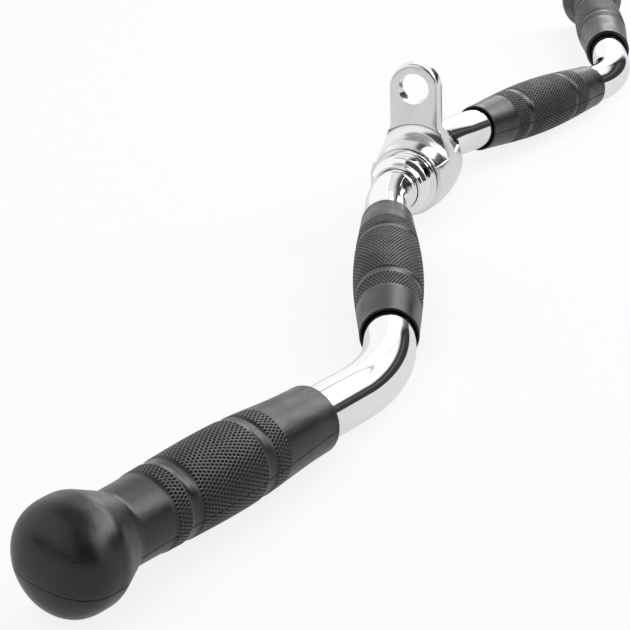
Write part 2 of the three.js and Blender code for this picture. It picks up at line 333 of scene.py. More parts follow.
@dataclass(frozen=True)
class RubberFinish:
    """Moulded black rubber, rubbed smooth on what stands proud and dull in the pits, with painted shade
    darkening its pits, parting line and bore's mouth.

    Attributes:
        name: The material's name.
        colour: Colour of the clean rubber.
        worn: Colour where it is rubbed and a little dusty.
        pit_shade: Painted shade, the darker colour in the pits and grooves.
        pit_shade_span: Range of the relief from that painted shade to the clean colour.
        rubbed: Pattern of the rubbed parts.
        rubbed_span: Range of that pattern.
        rubbed_share: How much of the worn colour shows, at least and at most.
        specks: Pattern of the pale specks.
        speck_span: Range of that pattern.
        patches: Pattern of the duller and glossier patches.
        patch_span: Range of that pattern.
        roughness: Roughness of the glossiest and the dullest patch.
        pit_roughness: How much rougher the pits are.
        shine_span: Range of the relief from the pits' shine to the full one.
        shine: Specular level in the pits and on what stands proud.
        skin: Pattern of the moulded skin.
        skin_depth: Its depth, in metres.
        grain: Pattern of the fine grain.
        grain_depth: Its depth, in metres.
    """

    name: str
    colour: Triple = (0.007, 0.0067, 0.0069)
    worn: Triple = (0.052, 0.046, 0.041)
    pit_shade: Triple = (0.001, 0.001, 0.001)
    pit_shade_span: Pair = (0.1, 0.9)
    rubbed: Pattern = Pattern(34, 6)
    rubbed_span: Pair = (0.5, 0.78)
    rubbed_share: Pair = (0, 0.6)
    specks: Pattern = Pattern(1500, 1)
    speck_span: Pair = (0.7, 0.75)
    patches: Pattern = Pattern(95, 6)
    patch_span: Pair = (0.3, 0.7)
    roughness: Pair = (0.24, 0.42)
    pit_roughness: float = 0.3
    shine_span: Pair = (0, 0.9)
    shine: Pair = (0.03, 0.5)
    skin: Pattern = Pattern(420, 4)
    skin_depth: float = 0.00007
    grain: Pattern = Pattern(3600, 3)
    grain_depth: float = 0.000016

    def make(self) -> Material:
        """Makes the material.

        Returns:
            The material.
        """
        sheet = NodeSheet(bpy.data.materials.new(self.name))
        rubber = sheet.principled()
        proud = sheet.attribute("relief")
        rubbed = sheet.span(sheet.noise(self.rubbed), self.rubbed_span, self.rubbed_share)
        specks = sheet.span(sheet.noise(self.specks), self.speck_span)
        colour = sheet.blend(sheet.math("MAXIMUM", rubbed, specks), self.colour, self.worn)
        # Painted shade: the colour darkens where the relief is low, in the pits, the parting line and the
        # bore's mouth.
        colour = sheet.blend(sheet.span(proud, self.pit_shade_span), self.pit_shade, colour)
        sheet.join(colour, rubber.inputs["Base Color"])
        patches = sheet.span(sheet.noise(self.patches), self.patch_span, self.roughness)
        rough = sheet.math("ADD", patches, sheet.span(proud, target=(self.pit_roughness, 0)))
        sheet.join(rough, rubber.inputs["Roughness"])
        sheet.join(sheet.span(proud, self.shine_span, self.shine), rubber.inputs["Specular IOR Level"])
        skin = sheet.bump(self.skin, self.skin_depth)
        sheet.join(sheet.bump(self.grain, self.grain_depth, skin), rubber.inputs["Normal"])
        return sheet.owner


# The finishes of the object, each named for its slot
FINISHES = (
    PlatedFinish(
        "bright_chrome", colour=(0.93, 0.935, 0.94), dull=(0.86, 0.865, 0.87), gloss=0.035, smudged=0.14
    ),
    PlatedFinish(
        "satin_chrome", colour=(0.84, 0.84, 0.83), dull=(0.74, 0.735, 0.72), gloss=0.16, smudged=0.28,
        waviness=0.00002, grain=0.000006
    ),
    PlatedFinish("bronze", colour=(0.36, 0.28, 0.17), dull=(0.24, 0.18, 0.11), gloss=0.25, smudged=0.4),
    PlatedFinish(
        "black_steel", colour=(0.03, 0.03, 0.032), dull=(0.05, 0.048, 0.046), gloss=0.35, smudged=0.5
    ),
    RubberFinish("grip_rubber"),
)


@dataclass(frozen=True)
class PaperFinish:
    """Studio paper, near white where it is seen or mirrored.

    Attributes:
        name: The material's name.
        colour: Colour of the paper.
        shaded: Colour between its fibres, as a share of that colour.
        glow: How much of a plain white shows to the camera and in mirrors.
        mirrored: Brightness of that white in mirrors.
        fibres: Pattern of the fibres.
        fibre_span: Range of that pattern.
    """

    name: str
    colour: Triple = (0.86, 0.86, 0.86)
    shaded: float = 0.97
    glow: float = 0.85
    mirrored: float = 0.74
    fibres: Pattern = Pattern(60, 3)
    fibre_span: Pair = (0.3, 0.7)

    def make(self) -> Material:
        """Makes the material.

        Returns:
            The material.
        """
        sheet = NodeSheet(bpy.data.materials.new(self.name))
        paper = sheet.add("ShaderNodeBsdfDiffuse")
        fibres = sheet.span(sheet.noise(self.fibres), self.fibre_span)
        shaded = tuple(self.shaded * channel for channel in self.colour)
        sheet.join(sheet.blend(fibres, self.colour, shaded), paper.inputs["Color"])
        white = sheet.add("ShaderNodeEmission")
        camera = sheet.add("ShaderNodeLightPath").outputs["Is Camera Ray"]
        sheet.join(sheet.span(camera, target=(self.mirrored, 1)), white.inputs["Strength"])
        mix = sheet.add("ShaderNodeMixShader")
        factor = sheet.math("MULTIPLY", sheet.seen(), self.glow)
        for index, value in enumerate((factor, paper.outputs["BSDF"], white.outputs["Emission"])):
            sheet.join(value, mix.inputs[index])
        sheet.join(mix.outputs["Shader"], sheet.output.inputs["Surface"])
        return sheet.owner


# Mesh tools


def place_of(tilt: float, turn: float = 0, along: Vector = Vector()) -> Matrix:
    """The place of something on the bar's centre line at rest.

    Args:
        tilt: Tilt of its own frame about the bar's centre line, in radians.
        turn: Its turn in the plane of the bent bar, in radians.
        along: Its place in that plane, in millimetres.

    Returns:
        The matrix that goes into its mesh.
    """
    centre = Vector(frame["joints"][0]["pos_m"])
    spot = Matrix.Translation(centre) @ Matrix.Rotation(tilt, 4, "X")
    return spot @ Matrix.Translation(along * MM) @ Matrix.Rotation(turn, 4, "Z")


def all_of(bm: Mesh) -> list:
    """All vertices, edges and faces of a mesh."""
    return [*bm.verts, *bm.edges, *bm.faces]


def only(kind: type, made: list) -> list:
    """The vertices, edges or faces among what an operator made."""
    return [item for item in made if isinstance(item, kind)]


def arc(low: float, high: float, steps: int) -> list[float]:
    """Evenly spaced values from low to high, both included."""
    return [low + (high - low) * index / steps for index in range(steps + 1)]


def smooth(low: float, high: float, value: float) -> float:
    """A smooth step from 0 at the low value to 1 at the high one."""
    share = min(max((value - low) / (high - low), 0), 1)
    return share * share * (3 - 2 * share)


def bezier(start: Pair, pull: Pair, end: Pair, steps: int) -> Profile:
    """Points of a curve from start to end that is pulled towards a point."""
    a, b, c = Vector(start), Vector(pull), Vector(end)
    return [tuple(a.lerp(b, t).lerp(b.lerp(c, t), t)) for t in arc(0, 1, steps)]


def turned(profile: Profile, steps: int, closed: bool = False) -> Mesh:
    """Turns a profile about the X axis.

    Args:
        profile: Points of the profile, each its place along X and its radius, in millimetres.
        steps: Steps of a full turn.
        closed: Whether the last point joins the first, as in a ring.

    Returns:
        The closed mesh, in metres.
    """
    bm = bmesh.new()
    points = [bm.verts.new((along * MM, 0, radius * MM)) for along, radius in profile]
    pairs = list(zip(points, points[1:])) + ([(points[-1], points[0])] if closed else [])
    edges = [bm.edges.new(pair) for pair in pairs]
    bmesh.ops.spin(
        bm, geom=points + edges, cent=(0, 0, 0), axis=(1, 0, 0), angle=math.tau, steps=steps, use_merge=True
    )
    bmesh.ops.remove_doubles(bm, verts=bm.verts, dist=MERGE * MM)
    bmesh.ops.recalc_face_normals(bm, faces=bm.faces)
    return bm


def softened(corners: Profile, rounds: Iterable[float], steps: int) -> Profile:
    """Rounds the corners of a profile.

    Args:
        corners: Its corner points.
        rounds: The round of each corner, 0 for a sharp one.
        steps: Steps of each round.

    Returns:
        The finer profile.
    """
    points = []
    for index, (corner, radius) in enumerate(zip(corners, rounds)):
        here = Vector(corner)
        if radius <= 0:
            points.append(corner)
            continue
        into = here - Vector(corners[index - 1])
        out = Vector(corners[(index + 1) % len(corners)]) - here
        reach = min(radius, ROUND_SHARE * into.length, ROUND_SHARE * out.length)
        start, end = here - into.normalized() * reach, here + out.normalized() * reach
        for share in arc(0, 1, steps):
            near = start.lerp(here, share).lerp(here.lerp(end, share), share)
            points.append((near.x, near.y))
    return points


def shade(piece: Piece, degrees: float = 35) -> None:
    """Shades a piece smooth, and keeps edges sharper than this many degrees sharp."""
    piece.data.shade_smooth()
    piece.data.set_sharp_from_angle(angle=math.radians(degrees))


def new_object(name: str, bm: Mesh, material: Material, place: Matrix = Matrix()) -> Piece:
    """Makes an object of a mesh, with its place in the mesh.

    Args:
        name: The object's name.
        bm: The mesh, which is used up.
        material: Its material.
        place: Its place.

    Returns:
        The object, linked to the scene.
    """
    bmesh.ops.transform(bm, matrix=place, verts=bm.verts)
    mesh = bpy.data.meshes.new(name)
    bm.to_mesh(mesh)
    bm.free()
    mesh.materials.append(material)
    piece = bpy.data.objects.new(name, mesh)
    shade(piece)
    bpy.context.scene.collection.objects.link(piece)
    return piece


def dress(piece: Piece, body: Body, slot: str, *nodes: str) -> Piece:
    """Says what a piece rides on and which nodes it stands for, and reports it.

    Args:
        piece: The piece.
        body: The body that it rides on.
        slot: Not used.
        *nodes: The CAD nodes that it replaces.

    Returns:
        The piece.
    """
    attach(piece, body.value)
    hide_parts(*nodes)
    faces = len(piece.data.polygons)
    log.info("%s: %d faces, on %s, for %s", piece.name, faces, body.value, ", ".join(nodes))
    return piece


def with_modifiers(piece: Piece, *helpers: Piece) -> Piece:
    """Puts a piece's modifiers into its mesh and removes the objects that they used.

    Args:
        piece: The piece.
        *helpers: Cutters and other objects that only its modifiers used.

    Returns:
        The piece.
    """
    bpy.context.view_layer.update()
    graph = bpy.context.evaluated_depsgraph_get()
    final = bpy.data.meshes.new_from_object(piece.evaluated_get(graph))
    old = piece.data
    piece.modifiers.clear()
    piece.data = final
    final.name = piece.name
    bpy.data.meshes.remove(old)
    for helper in helpers:
        bpy.data.meshes.remove(helper.data)
    return piece


def boolean(piece: Piece, operation: str, other: Piece) -> None:
    """Adds an exact boolean to a piece.

    Args:
        piece: The piece.
        operation: UNION, DIFFERENCE or INTERSECT.
        other: The object that joins or cuts it.
    """
    modifier = piece.modifiers.new(operation.lower(), "BOOLEAN")
    modifier.operation = operation
    modifier.solver = "EXACT"
    modifier.object = other


# The bar


@dataclass
class BentBar:
    """The chromed bar: a short centre, and two runs on each side that bend one way and back.

    Attributes:
        diameter: Outside diameter.
        centre_to_corner: From the middle to the corner where the first two runs would cross.
        inner_run: Length of the inner run, from corner to corner.
        outer_run: Length of the outer run, from its corner to the end.
        inner_angle: Angle between the centre and the inner run, in degrees.
        outer_angle: Angle between the centre line's direction and the outer run, in degrees.
        bend_radius: Radius of every bend, to the centre line.
        tilt: How far the plane of the bends is tilted at rest, in degrees.
        sides: Sides of the round section.
        bend_steps: Steps of a bend.
    """

    diameter: float = 25
    centre_to_corner: float = 60
    inner_run: float = 219
    outer_run: float = 212
    inner_angle: float = 17.8
    outer_angle: float = 16.2
    bend_radius: float = 100
    tilt: float = 11.279
    sides: int = 96
    bend_steps: int = 20

    @property
    def lying(self) -> float:
        """The tilt in radians."""
        return math.radians(self.tilt)

    def direction(self, outer: bool) -> Vector:
        """The direction of a run on the right side."""
        angle = math.radians(self.outer_angle if outer else -self.inner_angle)
        return Vector((math.cos(angle), math.sin(angle), 0))

    def corner(self, outer: bool) -> Vector:
        """The first corner of a run on the right side, in millimetres."""
        inner = Vector((self.centre_to_corner, 0, 0))
        return inner + self.direction(False) * self.inner_run if outer else inner

    def on_run(self, side: Side, outer: bool, distance: float) -> Matrix:
        """The place of a piece on a run, with its X axis along the run and away from the middle.

        Args:
            side: The side of the bar.
            outer: Whether it is on the outer run.
            distance: Distance of the piece's origin from the run's first corner.

        Returns:
            The matrix that goes into the piece's mesh.
        """
        spot = self.corner(outer) + self.direction(outer) * distance
        heading = self.direction(outer)
        turn = math.atan2(heading.y, side.value * heading.x)
        return place_of(self.lying, turn, Vector((side.value * spot.x, spot.y, 0)))

    def build(self, chrome: Material) -> Piece:
        """Builds the bar: half of it is drawn out and bent, and the other half mirrors it.

        Args:
            chrome: Its material.

        Returns:
            The piece.
        """
        bm = bmesh.new()
        upright = Matrix.Rotation(math.pi / 2, 4, "Y")
        bmesh.ops.create_circle(bm, segments=self.sides, radius=self.diameter / 2 * MM, matrix=upright)
        loop = list(bm.edges)
        spot, heading = Vector(), Vector((1, 0, 0))
        bends = (
            (self.centre_to_corner, -self.inner_angle),
            (self.inner_run, self.inner_angle + self.outer_angle),
            (self.outer_run, 0),
        )
        used = 0.0
        for run, degrees in bends:
            turn = math.radians(degrees)
            cut = self.bend_radius * math.tan(abs(turn) / 2)
            length = run - used - cut
            loop = self.draw_out(bm, loop, heading * length)
            spot, used = spot + heading * length, cut
            if turn:
                inward = Vector((-heading.y, heading.x, 0)) * math.copysign(1, turn)
                centre = spot + inward * self.bend_radius
                loop = self.bend(bm, loop, centre, turn)
                about = Matrix.Rotation(turn, 3, "Z")
                spot, heading = centre + about @ (spot - centre), about @ heading
        bmesh.ops.contextual_create(bm, geom=loop)
        bmesh.ops.mirror(bm, geom=all_of(bm), axis="X", merge_dist=WELD * MM)
        bmesh.ops.recalc_face_normals(bm, faces=bm.faces)
        piece = new_object("bent_bar", bm, chrome, place_of(self.lying))
        return dress(piece, Body.BAR, "bright_chrome", "bar")

    def draw_out(self, bm: Mesh, loop: list, path: Vector) -> list:
        """Draws the open end straight on.

        Args:
            bm: The mesh.
            loop: Edges of the open end.
            path: Where it goes, in millimetres.

        Returns:
            Edges of the new open end.
        """
        made = bmesh.ops.extrude_edge_only(bm, edges=loop)["geom"]
        bmesh.ops.translate(bm, verts=only(bmesh.types.BMVert, made), vec=path * MM)
        return only(bmesh.types.BMEdge, made)

    def bend(self, bm: Mesh, loop: list, centre: Vector, turn: float) -> list:
        """Bends the open end on round a centre.

        Args:
            bm: The mesh.
            loop: Edges of the open end.
            centre: Centre of the bend, in millimetres.
            turn: Angle of the bend, in radians.

        Returns:
            Edges of the new open end.
        """
        ends = {v for edge in loop for v in edge.verts}
        made = bmesh.ops.spin(
            bm, geom=[*ends, *loop], cent=centre * MM, axis=(0, 0, 1), angle=turn, steps=self.bend_steps
        )
        return only(bmesh.types.BMEdge, made["geom_last"])


# The grips


@dataclass(frozen=True)
class Band:
    """One band of a grip's outside.

    Attributes:
        length: Its length.
        relief: What is moulded into it.
        depth: How far a plain ring lies below the body.
    """

    length: float
    relief: Relief = Relief.PLAIN
    depth: float = 0


@dataclass(frozen=True)
class Lattice:
    """The pattern that is moulded round a grip.

    Attributes:
        pitch: Length along the grip after which it repeats.
        around: How often it repeats round the grip.
        depth: Depth of its pits.
        edge: Plain edge of a patterned band.
        fade: Where the pattern begins to rise from that edge.
        rows: Mesh rows to a pitch.
        columns: Mesh columns to a repeat.
        ridge_span: Range of the crossed waves from the bottom to the top of a ridge.
        pit_span: Range of the crossed waves from the edge to the bottom of a pit.
    """

    pitch: float
    around: int
    depth: float
    edge: float = 0.45
    fade: float = 0.1
    rows: int = 8
    columns: int = 6
    ridge_span: Pair = (0.55, 1.0)
    pit_span: Pair = (0.1, 1.8)

    def height(self, relief: Relief, along: float, angle: float) -> float:
        """The height of the pattern.

        Args:
            relief: The kind of pattern.
            along: Place along the grip.
            angle: Angle round the grip.

        Returns:
            1 at the top, 0 at the bottom of a pit.
        """
        lengthwise = along / self.pitch
        crosswise = angle * self.around / math.tau
        first, second = lengthwise + crosswise, lengthwise - crosswise
        if relief is Relief.RIDGES:
            ridge = max(abs(math.cos(math.pi * first)), abs(math.cos(math.pi * second)))
            return smooth(*self.ridge_span, ridge)
        crossed = math.cos(math.tau * first) + math.cos(math.tau * second)
        return 1 - smooth(*self.pit_span, math.cos(2 * math.tau * lengthwise) - crossed)


@dataclass
class Grip:
    """A moulded rubber grip: its bands, its pattern and its parting line.

    Attributes:
        lattice: The moulded pattern.
        bore: Diameter of the bore.
        end_round: Round of the outer edge of an open end.
        mouth: Chamfer at the mouth of the bore.
        mouth_rounds: Rounds of that chamfer's two edges.
        round_steps: Steps of a round.
        plain_step: Length of a mesh row where the grip is plain.
        ring_slope: Length of the slope beside a plain ring.
        seam_depth: Depth of the parting line.
        seam_width: Half width of the parting line.
        seam_radius: Radius within which the tip of the knob has no parting line.
        skin: How far the whole outside lies within its nominal size.
        bore_margin: How far the mouth's edge counts as bore.
        bore_shade: The relief that the bore's mouth takes, which paints shade there through the rubber's
            finish.
        sharp: Edges sharper than this many degrees stay sharp.
    """

    lattice: Lattice
    bore: float = 25.6
    end_round: float = 1.6
    mouth: float = 0.6
    mouth_rounds: Pair = (0.3, 0.5)
    round_steps: int = 6
    plain_step: float = 2
    ring_slope: float = 0.5
    seam_depth: float = 0.4
    seam_width: float = 0.36
    seam_radius: float = 4
    skin: float = 0.03
    bore_margin: float = 0.2
    bore_shade: float = 0.4
    sharp: float = 60

    @property
    def steps(self) -> int:
        """Steps of a full turn, a whole number to each repeat of the pattern."""
        return self.lattice.around * self.lattice.columns

    def body(self, along: float) -> float:
        """Radius of the body at a place along the grip."""
        raise NotImplementedError

    def shape(self) -> Mesh:
        """The grip about its own axis."""
        raise NotImplementedError

    def place(self, bar: BentBar, side: Side) -> Matrix:
        """The place of the grip on the bar."""
        raise NotImplementedError

    def build_pair(self, bar: BentBar, look: str, node: str, rubber: Material) -> None:
        """Builds the grips of both sides from one shape.

        Args:
            bar: The bar that carries them.
            look: Name of the pieces, without their side.
            node: Name of the CAD nodes, without their side.
            rubber: Their material.
        """
        shape = self.shape()
        for side in Side:
            piece = new_object(f"{look}_{side.word}", shape.copy(), rubber, self.place(bar, side))
            shade(piece, self.sharp)
            dress(piece, Body.BAR, "grip_rubber", f"{node}_{side.word}")
        shape.free()

    def seam(self, along: float) -> float:
        """Height of the parting line above the middle at a place along the grip."""
        return 0.0

    def outside(self, bands: list[Band], start: float) -> Profile:
        """The outside over its bands.

        Args:
            bands: The bands in order.
            start: Where the first begins.

        Returns:
            Points of the profile.
        """
        points: Profile = []
        for band in bands:
            fine = band.relief is not Relief.PLAIN
            step = self.lattice.pitch / self.lattice.rows if fine else self.plain_step
            slope = self.ring_slope if band.depth else 0
            inner = band.length - 2 * slope
            for further in arc(0, inner, max(2, round(inner / step))):
                along = start + slope + further
                points.append((along, self.body(along) - band.depth))
            start += band.length
        return points[:1] + [point for last, point in zip(points, points[1:]) if point[0] - last[0] > WELD]

    def open_end(self, start: float, heading: int) -> Profile:
        """The mouth and rounded edge of an open end.

        Args:
            start: Where the end face is.
            heading: 1 if the grip runs on towards +X from it, otherwise -1.

        Returns:
            Points from the bore outwards.
        """
        edge = self.body(start + heading * self.end_round)
        corners = [
            (start + heading * self.mouth, self.bore / 2),
            (start, self.bore / 2 + self.mouth),
            (start, edge),
            (start + heading * self.end_round, edge),
        ]
        return softened(corners, (*self.mouth_rounds, self.end_round, 0), self.round_steps)[:-1]

    def moulded(self, bm: Mesh, bands: list[Band], start: float) -> None:
        """Moulds the pattern and the parting line into the outside, and keeps the height as an attribute,
        which the rubber's finish also reads to paint shade where the relief is low.

        Args:
            bm: The turned mesh.
            bands: The bands in order.
            start: Where the first begins.
        """
        layer = bm.verts.layers.float.new("relief")
        edges = []
        for band in bands:
            edges.append((start, start + band.length, band.relief))
            start += band.length
        for vert in bm.verts:
            vert[layer] = 1.0
            radius = math.hypot(vert.co.y, vert.co.z)
            within = self.bore / 2 + self.mouth + self.bore_margin
            if radius < within * MM and vert.co.x < self.closed_from * MM:
                # Painted shade: the bore's mouth takes a low relief, which the finish paints dark.
                vert[layer] = self.bore_shade
                continue
            along, angle = vert.co.x / MM, math.atan2(vert.co.y, vert.co.z)
            drop = self.skin
            for low, high, relief in edges:
                if relief is not Relief.PLAIN and low < along < high:
                    near = min(along - low, high - along)
                    fade = smooth(self.lattice.fade, self.lattice.edge, near)
                    height = 1 - fade * (1 - self.lattice.height(relief, along, angle))
                    vert[layer] = height
                    drop += self.lattice.depth * (1 - height)
            off = abs(vert.co.z / MM - self.seam(along))
            if off < self.seam_width and radius > self.seam_radius * MM:
                share = 1 - off / self.seam_width
                # Painted shade: the parting line takes a low relief, which the finish paints dark on top of
                # its moulded groove.
                vert[layer] = min(vert[layer], 1 - share)
                drop += self.seam_depth * share
            if radius > 0:
                share = 1 - drop * MM / radius
                vert.co.y *= share
                vert.co.z *= share

    @property
    def closed_from(self) -> float:
        """Where the grip is closed, past the end of its bore."""
        return math.inf

    def cut_seam(self, bm: Mesh, low: Vector, high: Vector) -> None:
        """Cuts the mesh along the parting line and beside it.

        Args:
            bm: The turned mesh.
            low: A point of the parting plane, in millimetres.
            high: Another one further along it.
        """
        run = (high - low).normalized()
        normal = Vector((-run.z, 0, run.x))
        for offset in (-self.seam_width, 0, self.seam_width):
            spot = (low + normal * offset) * MM
            bmesh.ops.bisect_plane(bm, geom=all_of(bm), dist=2 * MERGE * MM, plane_co=spot, plane_no=normal)


@dataclass
class InnerGrip(Grip):
    """A barrel grip on an inner run, knurled with crossed ridges.

    Attributes:
        lattice: The moulded pattern.
        from_corner: Its distance from the run's first corner.
        length: Its length.
        end: Diameter at its ends.
        belly: Diameter at its middle.
        fullness: How soon it swells from its ends.
        collar: Length of a plain collar.
        band: Length of a knurled band.
        ring: Length of a plain ring.
        ring_depth: How far a plain ring lies below the body.
        bore_rows: Places of the mesh rows in the bore, as shares of half the length.
    """

    lattice: Lattice = Lattice(pitch=4.2, around=60, depth=0.45, rows=10)
    from_corner: float = 36
    length: float = 142
    end: float = 28.6
    belly: float = 36
    fullness: float = 0.58
    collar: float = 25.5
    band: float = 13
    ring: float = 7
    ring_depth: float = 0.4
    bore_rows: Triple = (0.6, 0, -0.6)

    def body(self, along: float) -> float:
        """Radius of the body, from its middle at 0."""
        rise = (1 + math.cos(math.tau * along / self.length)) / 2
        return self.end / 2 + (self.belly - self.end) / 2 * rise**self.fullness

    def bands(self) -> list[Band]:
        """Lists the bands from end to end, without the rounded edges.

        Returns:
            The bands in order.
        """
        collar = Band(self.collar - self.end_round)
        band = Band(self.band, Relief.RIDGES)
        ring = Band(self.ring, depth=self.ring_depth)
        middle = Band(self.length - 2 * (self.collar + self.band + self.ring), Relief.RIDGES)
        return [collar, band, ring, middle, ring, band, collar]

    def shape(self) -> Mesh:
        """Shapes the grip about its own axis, with its middle at the origin.

        Returns:
            The mesh.
        """
        half = self.length / 2
        start = self.end_round - half
        first = self.open_end(-half, 1)
        last = self.open_end(half, -1)
        bore = [(half * share, self.bore / 2) for share in self.bore_rows]
        profile = [*first, *self.outside(self.bands(), start), *reversed(last), *bore]
        bm = turned(profile, self.steps, closed=True)
        self.moulded(bm, self.bands(), start)
        return bm

    def place(self, bar: BentBar, side: Side) -> Matrix:
        """The place of the grip on its run."""
        return bar.on_run(side, False, self.from_corner + self.length / 2)


@dataclass
class OuterGrip(Grip):
    """A tapered grip on an outer run, with the knob that closes the bar's end in one moulding with it.

    Attributes:
        lattice: The moulded pattern.
        bar_inside: How much of the bar is inside it.
        bar_gap: Gap between the bar's end and the end of the bore.
        bore_steps: Steps of the bore's length.
        end: Diameter at its open end.
        widest: Diameter at its middle.
        widest_at: Place of that middle, from the open end.
        neck_diameter: Diameter where the neck meets the knob.
        collar: Length of the plain collar.
        band: Length of the narrow patterned band.
        ring: Length of a plain ring.
        knurl: Length of the long patterned band.
        neck_band: Length of the patterned band beside the neck.
        neck: Length of the neck.
        ring_depth: How far rings and neck lie below the body.
        knob: Diameter of the knob.
        shoulder: Diameter at the knob's shoulder.
        shoulder_length: Length of the step up to the shoulder.
        flare: Length of the knob's flare.
        rim: Length of the knob's straight rim.
        dome: Length of the dome.
        dome_power: Fullness of the dome.
        dome_steps: Steps of the dome.
        neck_lead: How far from the knob the step up to its shoulder begins.
        knob_rounds: Rounds of the shoulder's and the rim's first edge.
        knob_round_steps: Steps of those rounds.
        knob_step: Length of a mesh row of the knob.
        seam_level: Where along the grip the parting line crosses the middle.
        seam_fall: How much the parting line falls towards the knob.
    """

    lattice: Lattice = Lattice(pitch=3.62, around=63, depth=0.55)
    bar_inside: float = 150
    bar_gap: float = 0.3
    bore_steps: int = 5
    end: float = 31.2
    widest: float = 36.6
    widest_at: float = 62
    neck_diameter: float = 33
    collar: float = 37
    band: float = 9
    ring: float = 7
    knurl: float = 40
    neck_band: float = 7.5
    neck: float = 21
    ring_depth: float = 0.4
    knob: float = 47
    shoulder: float = 35.6
    shoulder_length: float = 2
    flare: float = 13
    rim: float = 6
    dome: float = 17
    dome_power: float = 2.4
    dome_steps: int = 24
    neck_lead: float = 0.6
    knob_rounds: Pair = (1.6, 2.8)
    knob_round_steps: int = 7
    knob_step: float = 1.2
    seam_level: float = 30
    seam_fall: float = 0.045

    @property
    def knob_start(self) -> float:
        """Where the knob begins."""
        return self.collar + self.band + 2 * self.ring + self.knurl + self.neck_band + self.neck

    @property
    def closed_from(self) -> float:
        """Where the grip is closed, past the end of its bore."""
        return self.bar_inside + 2 * self.bar_gap

    def body(self, along: float) -> float:
        """Gives the radius of the body, which is fullest in its middle and drawn in to both ends.

        Args:
            along: Place along the grip, from its open end at 0.

        Returns:
            The radius.
        """
        rising = along < self.widest_at
        end = (self.end if rising else self.neck_diameter) / 2
        reach = self.widest_at if rising else self.knob_start - self.widest_at
        share = min(abs(along - self.widest_at) / reach, 1)
        return end + (self.widest / 2 - end) * (1 + math.cos(math.pi * share)) / 2

    def seam(self, along: float) -> float:
        """Height of the parting line above the middle."""
        return (self.seam_level - along) * self.seam_fall

    def bands(self) -> list[Band]:
        """Lists the bands from the open end's edge to the knob.

        Returns:
            The bands in order.
        """
        return [
            Band(self.collar - self.end_round),
            Band(self.band, Relief.PITS),
            Band(self.ring, depth=self.ring_depth),
            Band(self.knurl, Relief.PITS),
            Band(self.ring, depth=self.ring_depth),
            Band(self.neck_band, Relief.PITS),
            Band(self.neck, depth=self.ring_depth),
        ]

    def knob_outside(self) -> Profile:
        """Draws the knob's outside, from its shoulder to the tip of the dome.

        Returns:
            Points of the profile.
        """
        start = self.knob_start + self.shoulder_length
        rim_start = start + self.flare
        dome_start = rim_start + self.rim
        neck = (self.knob_start - self.neck_lead, self.neck_diameter / 2 - self.ring_depth)
        corners = [neck, (start, self.shoulder / 2), (rim_start, self.knob / 2), (dome_start, self.knob / 2)]
        points = softened(corners, (0, *self.knob_rounds, 0), self.knob_round_steps)[1:]
        finer: Profile = []
        for first, second in zip(points, points[1:]):
            count = max(1, round(abs(second[0] - first[0]) / self.knob_step))
            finer += [tuple(Vector(first).lerp(Vector(second), share)) for share in arc(0, 1, count)[:-1]]
        for turn in arc(0, math.pi / 2, self.dome_steps)[:-1]:
            reach, width = (part ** (2 / self.dome_power) for part in (math.sin(turn), math.cos(turn)))
            finer.append((dome_start + self.dome * reach, self.knob / 2 * width))
        return [*finer, (dome_start + self.dome, 0)]

    def shape(self) -> Mesh:
        """Shapes the grip and its knob about their own axis, with the open end at the origin.

        Returns:
            The mesh.
        """
        depth = self.bar_inside + self.bar_gap
        bore = [(along, self.bore / 2) for along in arc(depth, self.mouth, self.bore_steps)[:-1]]
        outside = [*self.outside(self.bands(), self.end_round), *self.knob_outside()]
        profile = [(depth, 0), *bore, *self.open_end(0, 1), *outside]
        bm = turned(profile, self.steps)
        tip = self.knob_start + self.shoulder_length + self.flare + self.rim + self.dome
        self.cut_seam(bm, Vector((0, 0, self.seam(0))), Vector((tip, 0, self.seam(tip))))
        self.moulded(bm, self.bands(), self.end_round)
        return bm

    def place(self, bar: BentBar, side: Side) -> Matrix:
        """The place of the grip on its run."""
        return bar.on_run(side, True, bar.outer_run - self.bar_inside)


# The hanger and what holds it


